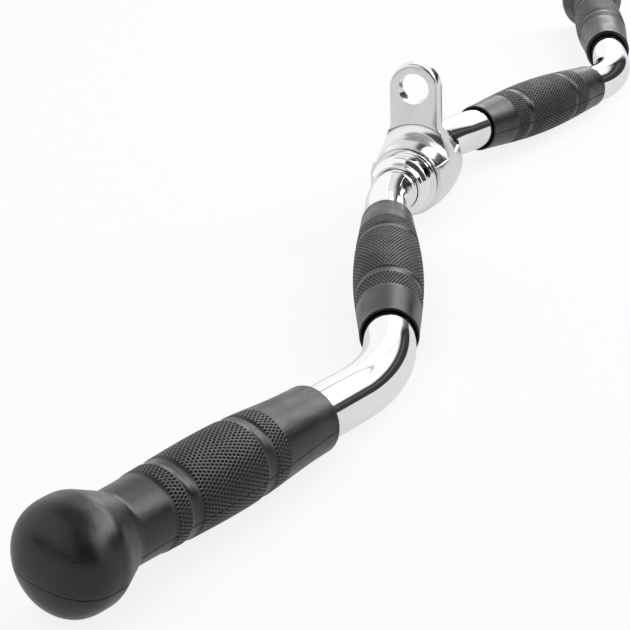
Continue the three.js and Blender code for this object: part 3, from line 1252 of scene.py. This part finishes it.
@dataclass
class Hanger:
    """The revolving hanger: an ear with its foot, and a sleeve with a cradle round its underside.

    Attributes:
        ear_width: Width of the ear.
        ear_thickness: Thickness of the ear.
        hole: Diameter of the hole.
        hole_height: Height of the hole's centre above the bar's centre line.
        flare: Height where the ear's sides begin to flare.
        crease: Radius of the crease between the ear and its foot.
        foot: Spread and radius of the foot where it meets the sleeve.
        foot_curve: Spread and radius of the pull of the hollow curve between them.
        length: Length of the sleeve.
        sleeve: Diameters of the sleeve at its middle and ends.
        cradle: Diameters of the cradle at its middle and ends.
        rim_height: Height of the cradle's rim above the centre line.
        end_round: Round of the sleeve's end edges.
        round_steps: Steps of that round.
        bore: Diameter of the bore.
        core: Diameter of the bore of what is joined to the sleeve.
        ear_edge: Width of the ear's rounded edges.
        edge: Width of the other rounded edges.
        edge_steps: Steps of a rounded edge.
        sharp: Edges sharper than this many degrees are rounded.
        lean: How far it leans over the bends, in degrees.
        sides: Sides of the round forms.
        rod_sides: Sides of the hole and of the core.
        rod_overrun: How far what cuts them goes past the sleeve.
        outline_steps: Steps of the ear's top, of its flank, of the foot's curve and of the sleeve's crown.
        underside: How far in from the rim the outline's foot lies, and its height.
        plate_inset: How far the plate's flanks lie within the outline, so that no faces coincide.
        foot_inset: How far the foot's top lies within the plate's faces, for the same reason.
        cradle_inset: How far the cradle's ends lie within the sleeve's, for the same reason.
    """

    ear_width: float = 29.6
    ear_thickness: float = 9
    hole: float = 18
    hole_height: float = 49.2
    flare: float = 28.5
    crease: float = 28.8
    foot: Pair = (22, 21.5)
    foot_curve: Pair = (11, 22.4)
    length: float = 46.4
    sleeve: Pair = (44.4, 40.4)
    cradle: Pair = (46.4, 43)
    rim_height: float = 9
    end_round: float = 2
    round_steps: int = 6
    bore: float = 30.6
    core: float = 34
    ear_edge: float = 2.4
    edge: float = 0.55
    edge_steps: int = 4
    sharp: float = 32
    lean: float = 2.75
    sides: int = 120
    rod_sides: int = 96
    rod_overrun: float = 3
    outline_steps: tuple[int, int, int, int] = (48, 20, 16, 28)
    underside: Pair = (5, 3)
    plate_inset: float = 0.03
    foot_inset: float = 0.05
    cradle_inset: float = 0.06

    def prism(self, outline: Profile, reach: float) -> Mesh:
        """A prism along the bar.

        Args:
            outline: Points of its outline, sideways and up.
            reach: Half its length.

        Returns:
            The mesh.
        """
        bm = bmesh.new()
        face = bm.faces.new([bm.verts.new((-reach * MM, y * MM, z * MM)) for y, z in outline])
        made = bmesh.ops.extrude_face_region(bm, geom=[face])["geom"]
        bmesh.ops.translate(bm, verts=only(bmesh.types.BMVert, made), vec=(2 * reach * MM, 0, 0))
        bmesh.ops.recalc_face_normals(bm, faces=bm.faces)
        return bm

    def front(self, inset: float = 0) -> Profile:
        """Draws the hanger seen along the bar: the ear, whose flanks flow into the cradle's rim.

        Args:
            inset: How far it is drawn in.

        Returns:
            Points of the outline, sideways and up.
        """
        half = self.ear_width / 2 - inset
        cradle = self.cradle[0] / 2
        flank = math.asin(self.rim_height / cradle)
        meet = Vector((self.rim_height / math.tan(flank) - inset, self.rim_height))
        pull = meet.y + (meet.x - half) / math.tan(flank)
        top_steps, flank_steps = self.outline_steps[:2]
        turns = arc(0, math.pi, top_steps)
        top = [(half * math.cos(turn), self.hole_height + half * math.sin(turn)) for turn in turns]
        left = bezier((-half, self.flare), (-half, pull), (-meet.x, meet.y), flank_steps)
        left.append((self.underside[0] - meet.x, self.underside[1]))
        return [*top, *left, *[(-x, y) for x, y in reversed(left)]]

    def foot_ring(self) -> Mesh:
        """Turns the ear's foot about the bar, with a hollow curve from the crease down to the sleeve.

        Returns:
            The mesh, a closed ring.
        """
        low = (-self.foot[0] / 2, self.foot[1])
        high = (self.foot_inset - self.ear_thickness / 2, self.crease)
        rise = bezier(low, (-self.foot_curve[0] / 2, self.foot_curve[1]), high, self.outline_steps[2])
        back = [(-x, r) for x, r in reversed(rise)]
        inside = [(-low[0], self.core / 2), (low[0], self.core / 2)]
        return turned([*rise, *back, *inside], self.sides, closed=True)

    def barrel(self, diameters: Pair, bore: float, half: float) -> Mesh:
        """Turns a crowned barrel about the bar's centre line.

        Args:
            diameters: Its diameters at its middle and at its ends.
            bore: Diameter of its bore.
            half: Half its length.

        Returns:
            The mesh.
        """
        crown_half = half - self.end_round
        middle, end = diameters[0] / 2, diameters[1] / 2
        places = arc(-crown_half, crown_half, self.outline_steps[3])
        crown = [(x, middle - (middle - end) * (x / crown_half) ** 2) for x in places]
        corners = [(-half, bore / 2), (-half, end), *crown, (half, end), (half, bore / 2)]
        rounds = (0, self.end_round, *([0] * len(crown)), self.end_round, 0)
        return turned(softened(corners, rounds, self.round_steps), self.sides, closed=True)

    def rounded(self, part: Piece, width: float) -> Piece:
        """Rounds a part's sharp edges and puts the result into its mesh.

        Args:
            part: The part.
            width: Width of the rounded edges.

        Returns:
            The part.
        """
        bevel = part.modifiers.new("edges", "BEVEL")
        bevel.width = width * MM
        bevel.segments = self.edge_steps
        bevel.limit_method = "ANGLE"
        bevel.angle_limit = math.radians(self.sharp)
        bevel.use_clamp_overlap = True
        return with_modifiers(part)

    def build(self, satin: Material) -> Piece:
        """Builds the hanger on the bar's centre line.

        Args:
            satin: Its material.

        Returns:
            The piece.
        """
        place = place_of(math.radians(self.lean))
        half = self.length / 2

        def raw(name: str, bm: Mesh) -> Piece:
            """A part of the hanger, in its place."""
            return new_object(name, bm, satin, place)

        plate = self.prism(self.front(self.plate_inset), self.ear_thickness / 2)
        part = self.rounded(raw("swivel_hanger", plate), self.ear_edge)
        foot = raw("foot", self.foot_ring())
        front = raw("front", self.prism(self.front(), half))
        boolean(foot, "INTERSECT", front)
        helpers = [
            ("DIFFERENCE", raw("hole", self.rod(self.hole, self.hole_height))),
            ("DIFFERENCE", raw("core", self.rod(self.core, 0))),
            ("UNION", with_modifiers(foot, front)),
            ("UNION", raw("cradle", self.cradle_bowl())),
            ("UNION", raw("sleeve", self.barrel(self.sleeve, self.bore, half))),
        ]
        for operation, helper in helpers:
            boolean(part, operation, helper)
        part = self.rounded(with_modifiers(part, *[helper for _, helper in helpers]), self.edge)
        shade(part, self.sharp)
        return dress(part, Body.HANGER, "satin_chrome", "hanger")

    def cradle_bowl(self) -> Mesh:
        """Makes the cradle, a barrel that is cut off at its rim.

        Returns:
            The mesh.
        """
        bm = self.barrel(self.cradle, self.core, self.length / 2 - self.cradle_inset)
        rim, up = (0, 0, self.rim_height * MM), (0, 0, 1)
        cut = bmesh.ops.bisect_plane(bm, geom=all_of(bm), plane_co=rim, plane_no=up, clear_outer=True)
        bmesh.ops.holes_fill(bm, edges=only(bmesh.types.BMEdge, cut["geom_cut"]))
        bmesh.ops.recalc_face_normals(bm, faces=bm.faces)
        return bm

    def rod(self, diameter: float, height: float) -> Mesh:
        """Makes a cutter along the bar, longer than the sleeve.

        Args:
            diameter: Its diameter.
            height: Its height above the bar's centre line.

        Returns:
            The mesh.
        """
        reach = self.length / 2 + self.rod_overrun
        profile = [(-reach, 0), (-reach, diameter / 2), (reach, diameter / 2), (reach, 0)]
        bm = turned(profile, self.rod_sides)
        bmesh.ops.translate(bm, verts=bm.verts, vec=(0, 0, height * MM))
        return bm


@dataclass
class SwivelFittings:
    """What holds the hanger on one side: a bush inside it, a thrust washer, and a stop collar with its screw.

    Attributes:
        shaft: Diameter of the bar.
        seat: Clearance of a seat.
        running: Clearance of a running fit.
        bush_wall: Wall of the bush.
        bush_length: Length of the bush without its flange.
        flange: Diameter and thickness of the bush's flange.
        washer: Diameter and thickness of the washer.
        collar: Diameter and length of the collar's body.
        taper: Length of the collar's taper.
        lip: Diameter and length of the collar's lip.
        screw: Diameter of the set screw.
        socket: Width and depth of the screw's hexagon socket.
        recess: How far the screw lies below the collar's outside.
        screw_gap: Gap between the screw and its hole.
        screw_angle: Lean of the screw above the plane of the bends, in degrees.
        overrun: How far what cuts the hole and the socket goes past the surface.
        bush_rounds: Rounds of the bush's outer corners, from the inner end to the flange's face.
        washer_rounds: Rounds of the washer's outer corners.
        collar_rounds: Rounds of the collar's outer corners, from the washer's side to the lip's end.
        bore_round: Round of a ring's inner corners.
        screw_round: Round of the screw's top edge.
        round_steps: Steps of a round.
        sides: Sides of the round forms.
        screw_sides: Sides of the screw and its hole.
    """

    shaft: float
    seat: float = 0.3
    running: float = 0.3
    bush_wall: float = 2.2
    bush_length: float = 20
    flange: Pair = (35, 1)
    washer: Pair = (38, 1.2)
    collar: Pair = (35, 9)
    taper: float = 2
    lip: Pair = (28.8, 4)
    screw: float = 8
    socket: Pair = (4, 2.4)
    recess: float = 0.3
    screw_gap: float = 0.3
    screw_angle: float = 41
    overrun: float = 2
    bush_rounds: tuple[float, ...] = (0.3, 0, 0.2, 0.2)
    washer_rounds: tuple[float, ...] = (0.3, 0.3)
    collar_rounds: tuple[float, ...] = (0.9, 0.8, 0.8, 0.9)
    bore_round: float = 0.15
    screw_round: float = 0.35
    round_steps: int = 4
    sides: int = 120
    screw_sides: int = 48

    def ring(self, outside: Profile, rounds: tuple[float, ...], hole: float, side: Side) -> Mesh:
        """Turns a ring about the bar, drawn for the right side.

        Args:
            outside: Corners of its outer profile.
            rounds: Their rounds.
            hole: Diameter of its hole.
            side: The side of the bar.

        Returns:
            The mesh.
        """
        corners = [*outside, (outside[-1][0], hole / 2), (outside[0][0], hole / 2)]
        profile = softened(corners, (*rounds, self.bore_round, self.bore_round), self.round_steps)
        return turned([(side.value * along, radius) for along, radius in profile], self.sides, closed=True)

    def screw_rod(self, middle: float, reach: Pair, radius: float, sides: int, edge: float = 0) -> Mesh:
        """Turns a rod that stands on the bar's centre line and leans out at the set screw's angle.

        Args:
            middle: Its place along the bar.
            reach: Distances of its foot and its top from the centre line.
            radius: Its radius.
            sides: Its sides.
            edge: Round of its top edge.

        Returns:
            The mesh.
        """
        low, high = reach
        corners = [(low, 0), (low, radius), (high, radius), (high, 0)]
        bm = turned(softened(corners, (0, 0, edge, 0), self.round_steps - 1), sides)
        upright = Matrix.Rotation(-math.pi / 2, 4, "Y")
        lean = Matrix.Rotation(math.pi / 2 - math.radians(self.screw_angle), 4, "X")
        place = Matrix.Translation((middle * MM, 0, 0)) @ lean @ upright
        bmesh.ops.transform(bm, matrix=place, verts=bm.verts)
        return bm

    def build(self, hanger: Hanger, bar: BentBar, side: Side, finishes: dict[str, Material]) -> None:
        """Builds the fittings of one side.

        Args:
            hanger: The hanger that they hold.
            bar: The bar that carries them.
            side: The side of the bar.
            finishes: The materials by slot.
        """
        bore = self.shaft + 2 * self.seat
        flange = hanger.length / 2 + self.seat
        washer = flange + self.flange[1] + self.running
        start = washer + self.washer[1] + self.running
        outer = self.shaft / 2 + self.running + self.bush_wall
        outside = [(flange - self.bush_length, outer), (flange, outer), (flange, self.flange[0] / 2)]
        outside.append((flange + self.flange[1], self.flange[0] / 2))
        bm = self.ring(outside, self.bush_rounds, self.shaft + 2 * self.running, side)
        place = place_of(math.radians(hanger.lean))
        piece = new_object(f"bronze_bush_{side.word}", bm, finishes["bronze"], place)
        dress(piece, Body.HANGER, "bronze", f"bush_{side.word}")
        rim = self.washer[0] / 2
        bm = self.ring([(washer, rim), (washer + self.washer[1], rim)], self.washer_rounds, bore, side)
        piece = new_object(f"thrust_ring_{side.word}", bm, finishes["bright_chrome"], place_of(bar.lying))
        dress(piece, Body.BAR, "bright_chrome", f"thrust_washer_{side.word}")
        self.build_collar(place_of(bar.lying), side, start, bore, finishes)

    def build_collar(
        self, place: Matrix, side: Side, start: float, bore: float, finishes: dict[str, Material]
    ) -> None:
        """Builds a stop collar and its set screw.

        Args:
            place: Their place on the bar.
            side: The side of the bar.
            start: Where the collar begins, on the right side.
            bore: Diameter of the collar's bore.
            finishes: The materials by slot.
        """
        chrome, steel = finishes["bright_chrome"], finishes["black_steel"]
        body_end = start + self.collar[1]
        lip_start = body_end + self.taper
        end = lip_start + self.lip[1]
        radius, lip = self.collar[0] / 2, self.lip[0] / 2
        outside = [(start, radius), (body_end, radius), (lip_start, lip), (end, lip)]
        bm = self.ring(outside, self.collar_rounds, bore, side)
        collar = new_object(f"clamped_collar_{side.word}", bm, chrome, place)
        middle = side.value * (start + body_end) / 2
        reach = (self.shaft / 2 - self.overrun, radius + self.overrun)
        hole_radius = self.screw / 2 + self.screw_gap
        hole = self.screw_rod(middle, reach, hole_radius, self.screw_sides, self.screw_round)
        self.drilled(collar, new_object("screw_hole", hole, chrome, place))
        dress(collar, Body.BAR, "bright_chrome", f"stop_collar_{side.word}")
        top = radius - self.recess
        bm = self.screw_rod(middle, (bore / 2, top), self.screw / 2, self.screw_sides, self.screw_round)
        screw = new_object(f"socket_screw_{side.word}", bm, steel, place)
        reach = (top - self.socket[1], top + self.overrun)
        key = self.screw_rod(middle, reach, self.socket[0] / math.sqrt(3), HEXAGON)
        self.drilled(screw, new_object("socket", key, steel, place))
        dress(screw, Body.BAR, "black_steel", f"set_screw_{side.word}")

    def drilled(self, piece: Piece, cutter: Piece) -> None:
        """Cuts a hole into a piece.

        Args:
            piece: The piece.
            cutter: What cuts it, which is used up.
        """
        boolean(piece, "DIFFERENCE", cutter)
        shade(with_modifiers(piece, cutter))


# The studio


@dataclass
class Studio:
    """The pale floor, the lamps, the glowing tent of painted reflections that the metal mirrors, and the
    camera.

    Attributes:
        floor_size: Side of the floor, in metres.
        floor_gap: How far the floor lies below the lowest point, in metres.
        tent: Radius of the tent, in metres.
        tent_rise: Its lowest and its highest elevation.
        tent_panes: How many panes it has around and upwards.
        panels: Each of its panels: azimuths, elevations, softness of its edges, and its brightness.
        sky: Brightness of the surroundings on dull surfaces.
        lamps: Each lamp's azimuth, elevation, distance, width, height and power.
        eye: Place of the camera, in metres.
        aim: Its azimuth from +X towards +Y, its drop below the horizon and its roll, in degrees.
        frame: Side of the picture, in pixels.
        focal: Focal length, in pixels of that picture.
        shift: Its shift, as a share of the picture.
        sensor: Width of its sensor, in millimetres.
        clip: How near and how far it sees, in metres.
    """

    floor_size: float = 30
    floor_gap: float = 0.0002
    tent: float = 3
    tent_rise: Pair = (-4, 88)
    tent_panes: tuple[int, int] = (180, 92)
    panels: tuple[tuple[float, ...], ...] = (
        (-181, 181, 60, 95, 5, 0.4),
        (-114, -16, 26, 40, 2.5, 5.5),
        (-62, 2, 35, 49, 2, 4.5),
        (-4, 15, 12, 31, 3, 3.5),
        (-30, 8, 35.5, 38.5, 1.2, 0.4),
        (-177, -120, -2, 55, 4, 0.06),
        (120, 181, 0, 11, 3, 0.1),
        (-181, -150, 0, 11, 3, 0.1),
        (-82, -7, 0, 21.3, 2.2, 0.04),
        (-70, -14, 12, 16, 2, 0.12),
    )
    sky: float = 0.5
    lamps: tuple[tuple[float, ...], ...] = (
        (-46, 25.5, 1.9, 1.5, 0.34, 12),
        (-24, 43, 1.9, 1.3, 0.42, 12),
        (150, 60, 2.2, 1.6, 1.0, 12),
    )
    eye: Triple = (-1.0, -0.29081, 0.33901)
    aim: Triple = (20.7326, 20.1975, -4.9197)
    frame: int = 630
    focal: float = 1858.7
    shift: Pair = (-0.0204, -0.0379)
    sensor: float = 36
    clip: Pair = (0.02, 100)

    def build_world(self) -> None:
        """Makes the surroundings: white to the camera and in mirrors, softer on dull surfaces."""
        world = bpy.data.worlds.new("studio")
        bpy.context.scene.world = world
        sheet = NodeSheet(world, "ShaderNodeOutputWorld")
        white = sheet.add("ShaderNodeBackground")
        sheet.join((1, 1, 1), white.inputs["Color"])
        sheet.join(sheet.span(sheet.seen(), target=(self.sky, 1)), white.inputs["Strength"])
        sheet.join(white.outputs["Background"], sheet.output.inputs["Surface"])

    def direction(self, azimuth: float, elevation: float) -> Vector:
        """The direction at an azimuth from +X towards +Y and an elevation, in degrees."""
        a, e = math.radians(azimuth), math.radians(elevation)
        return Vector((math.cos(a) * math.cos(e), math.sin(a) * math.cos(e), math.sin(e)))

    def build_floor(self) -> None:
        """Makes the floor."""
        bm = bmesh.new()
        bmesh.ops.create_grid(bm, x_segments=1, y_segments=1, size=self.floor_size / 2)
        place = Matrix.Translation((0, 0, -self.floor_gap))
        new_object("floor", bm, PaperFinish("floor_paper").make(), place)

    def tone(self, azimuth: float, elevation: float) -> float:
        """Brightness of the tent in a direction.

        Args:
            azimuth: Azimuth from +X towards +Y, from -180 to 180 degrees.
            elevation: Elevation, in degrees.

        Returns:
            The brightness, 1 for white.
        """
        tone = 1.0
        for from_azimuth, to_azimuth, low, high, soft, level in self.panels:
            across = smooth(from_azimuth - soft, from_azimuth + soft, azimuth)
            across *= 1 - smooth(to_azimuth - soft, to_azimuth + soft, azimuth)
            height = smooth(low - soft, low + soft, elevation)
            height *= 1 - smooth(high - soft, high + soft, elevation)
            tone += (level - tone) * across * height
        return tone

    def build_tent(self) -> None:
        """Makes the tent round the object, a glowing white sheet with brighter and darker panels that paint
        reflections, highlights and dark streaks, which only mirrors and gloss show.
        """
        bm = bmesh.new()
        around, upwards = self.tent_panes
        rib = [bm.verts.new(self.direction(0, rise) * self.tent) for rise in arc(*self.tent_rise, upwards)]
        edges = [bm.edges.new(pair) for pair in zip(rib, rib[1:])]
        bmesh.ops.spin(
            bm, geom=rib + edges, cent=(0, 0, 0), axis=(0, 0, 1), angle=math.tau, steps=around, use_merge=True
        )
        layer = bm.verts.layers.float.new("tone")
        for vert in bm.verts:
            azimuth = round(math.degrees(math.atan2(vert.co.y, vert.co.x)) + 180) % 360 - 180
            vert[layer] = self.tone(azimuth, round(math.degrees(math.asin(vert.co.z / self.tent))))
        sheet = NodeSheet(bpy.data.materials.new("painted_reflection_tent"))
        reflection_glow = sheet.add("ShaderNodeEmission")
        # Painted reflections: the tent glows with its tone, brighter panels for highlights and darker ones
        # for dark streaks.
        sheet.join(sheet.attribute("tone"), reflection_glow.inputs["Strength"])
        sheet.join(reflection_glow.outputs["Emission"], sheet.output.inputs["Surface"])
        sheet.owner.cycles.emission_sampling = "NONE"
        tent = new_object("tent", bm, sheet.owner)
        for ray in ("camera", "diffuse", "shadow", "transmission"):
            setattr(tent, f"visible_{ray}", False)

    def build_lamps(self) -> None:
        """Hangs the soft lamps round the object."""
        for index, (azimuth, elevation, distance, width, height, power) in enumerate(self.lamps):
            light = bpy.data.lights.new(f"softbox_{index}", "AREA")
            light.shape = "RECTANGLE"
            light.size, light.size_y, light.energy = width, height, power
            lamp = bpy.data.objects.new(light.name, light)
            lamp.visible_glossy = False
            away = self.direction(azimuth, elevation)
            lamp.location = away * distance
            lamp.rotation_mode = "QUATERNION"
            lamp.rotation_quaternion = away.to_track_quat("Z", "Y")
            bpy.context.scene.collection.objects.link(lamp)

    def build_camera(self) -> None:
        """Puts the camera low over the left knob, as in the photograph."""
        data = bpy.data.cameras.new("camera")
        data.sensor_fit = "HORIZONTAL"
        data.sensor_width = self.sensor
        data.lens = self.focal / self.frame * data.sensor_width
        data.shift_x, data.shift_y = self.shift
        data.clip_start, data.clip_end = self.clip
        camera = bpy.data.objects.new("camera", data)
        heading, drop, roll = self.aim
        ahead = self.direction(heading, -drop)
        level = ahead.cross(Vector((0, 0, 1))).normalized()
        right = Matrix.Rotation(math.radians(-roll), 3, ahead) @ level
        up = right.cross(ahead)
        turn = Matrix((right, up, -ahead)).transposed().to_4x4()
        camera.matrix_world = Matrix.Translation(self.eye) @ turn
        bpy.context.scene.collection.objects.link(camera)
        bpy.context.scene.camera = camera

    def build(self) -> None:
        """Builds the whole studio."""
        self.build_world()
        self.build_floor()
        self.build_tent()
        self.build_lamps()
        self.build_camera()
        bpy.context.scene.view_settings.view_transform = "Standard"


def main() -> None:
    """Builds the bar piece by piece and then the studio."""
    logging.basicConfig(level=logging.INFO, format="%(name)s: %(message)s")
    finishes = {finish.name: finish.make() for finish in FINISHES}
    bar = BentBar()
    bar.build(finishes["bright_chrome"])
    hanger = Hanger()
    hanger.build(finishes["satin_chrome"])
    rubber = finishes["grip_rubber"]
    InnerGrip().build_pair(bar, "knurled_inner_grip", "inner_grip", rubber)
    OuterGrip().build_pair(bar, "knobbed_outer_grip", "outer_grip", rubber)
    fittings = SwivelFittings(bar.diameter)
    for side in Side:
        fittings.build(hanger, bar, side, finishes)
    Studio().build()


if __name__ == "__main__":
    main()
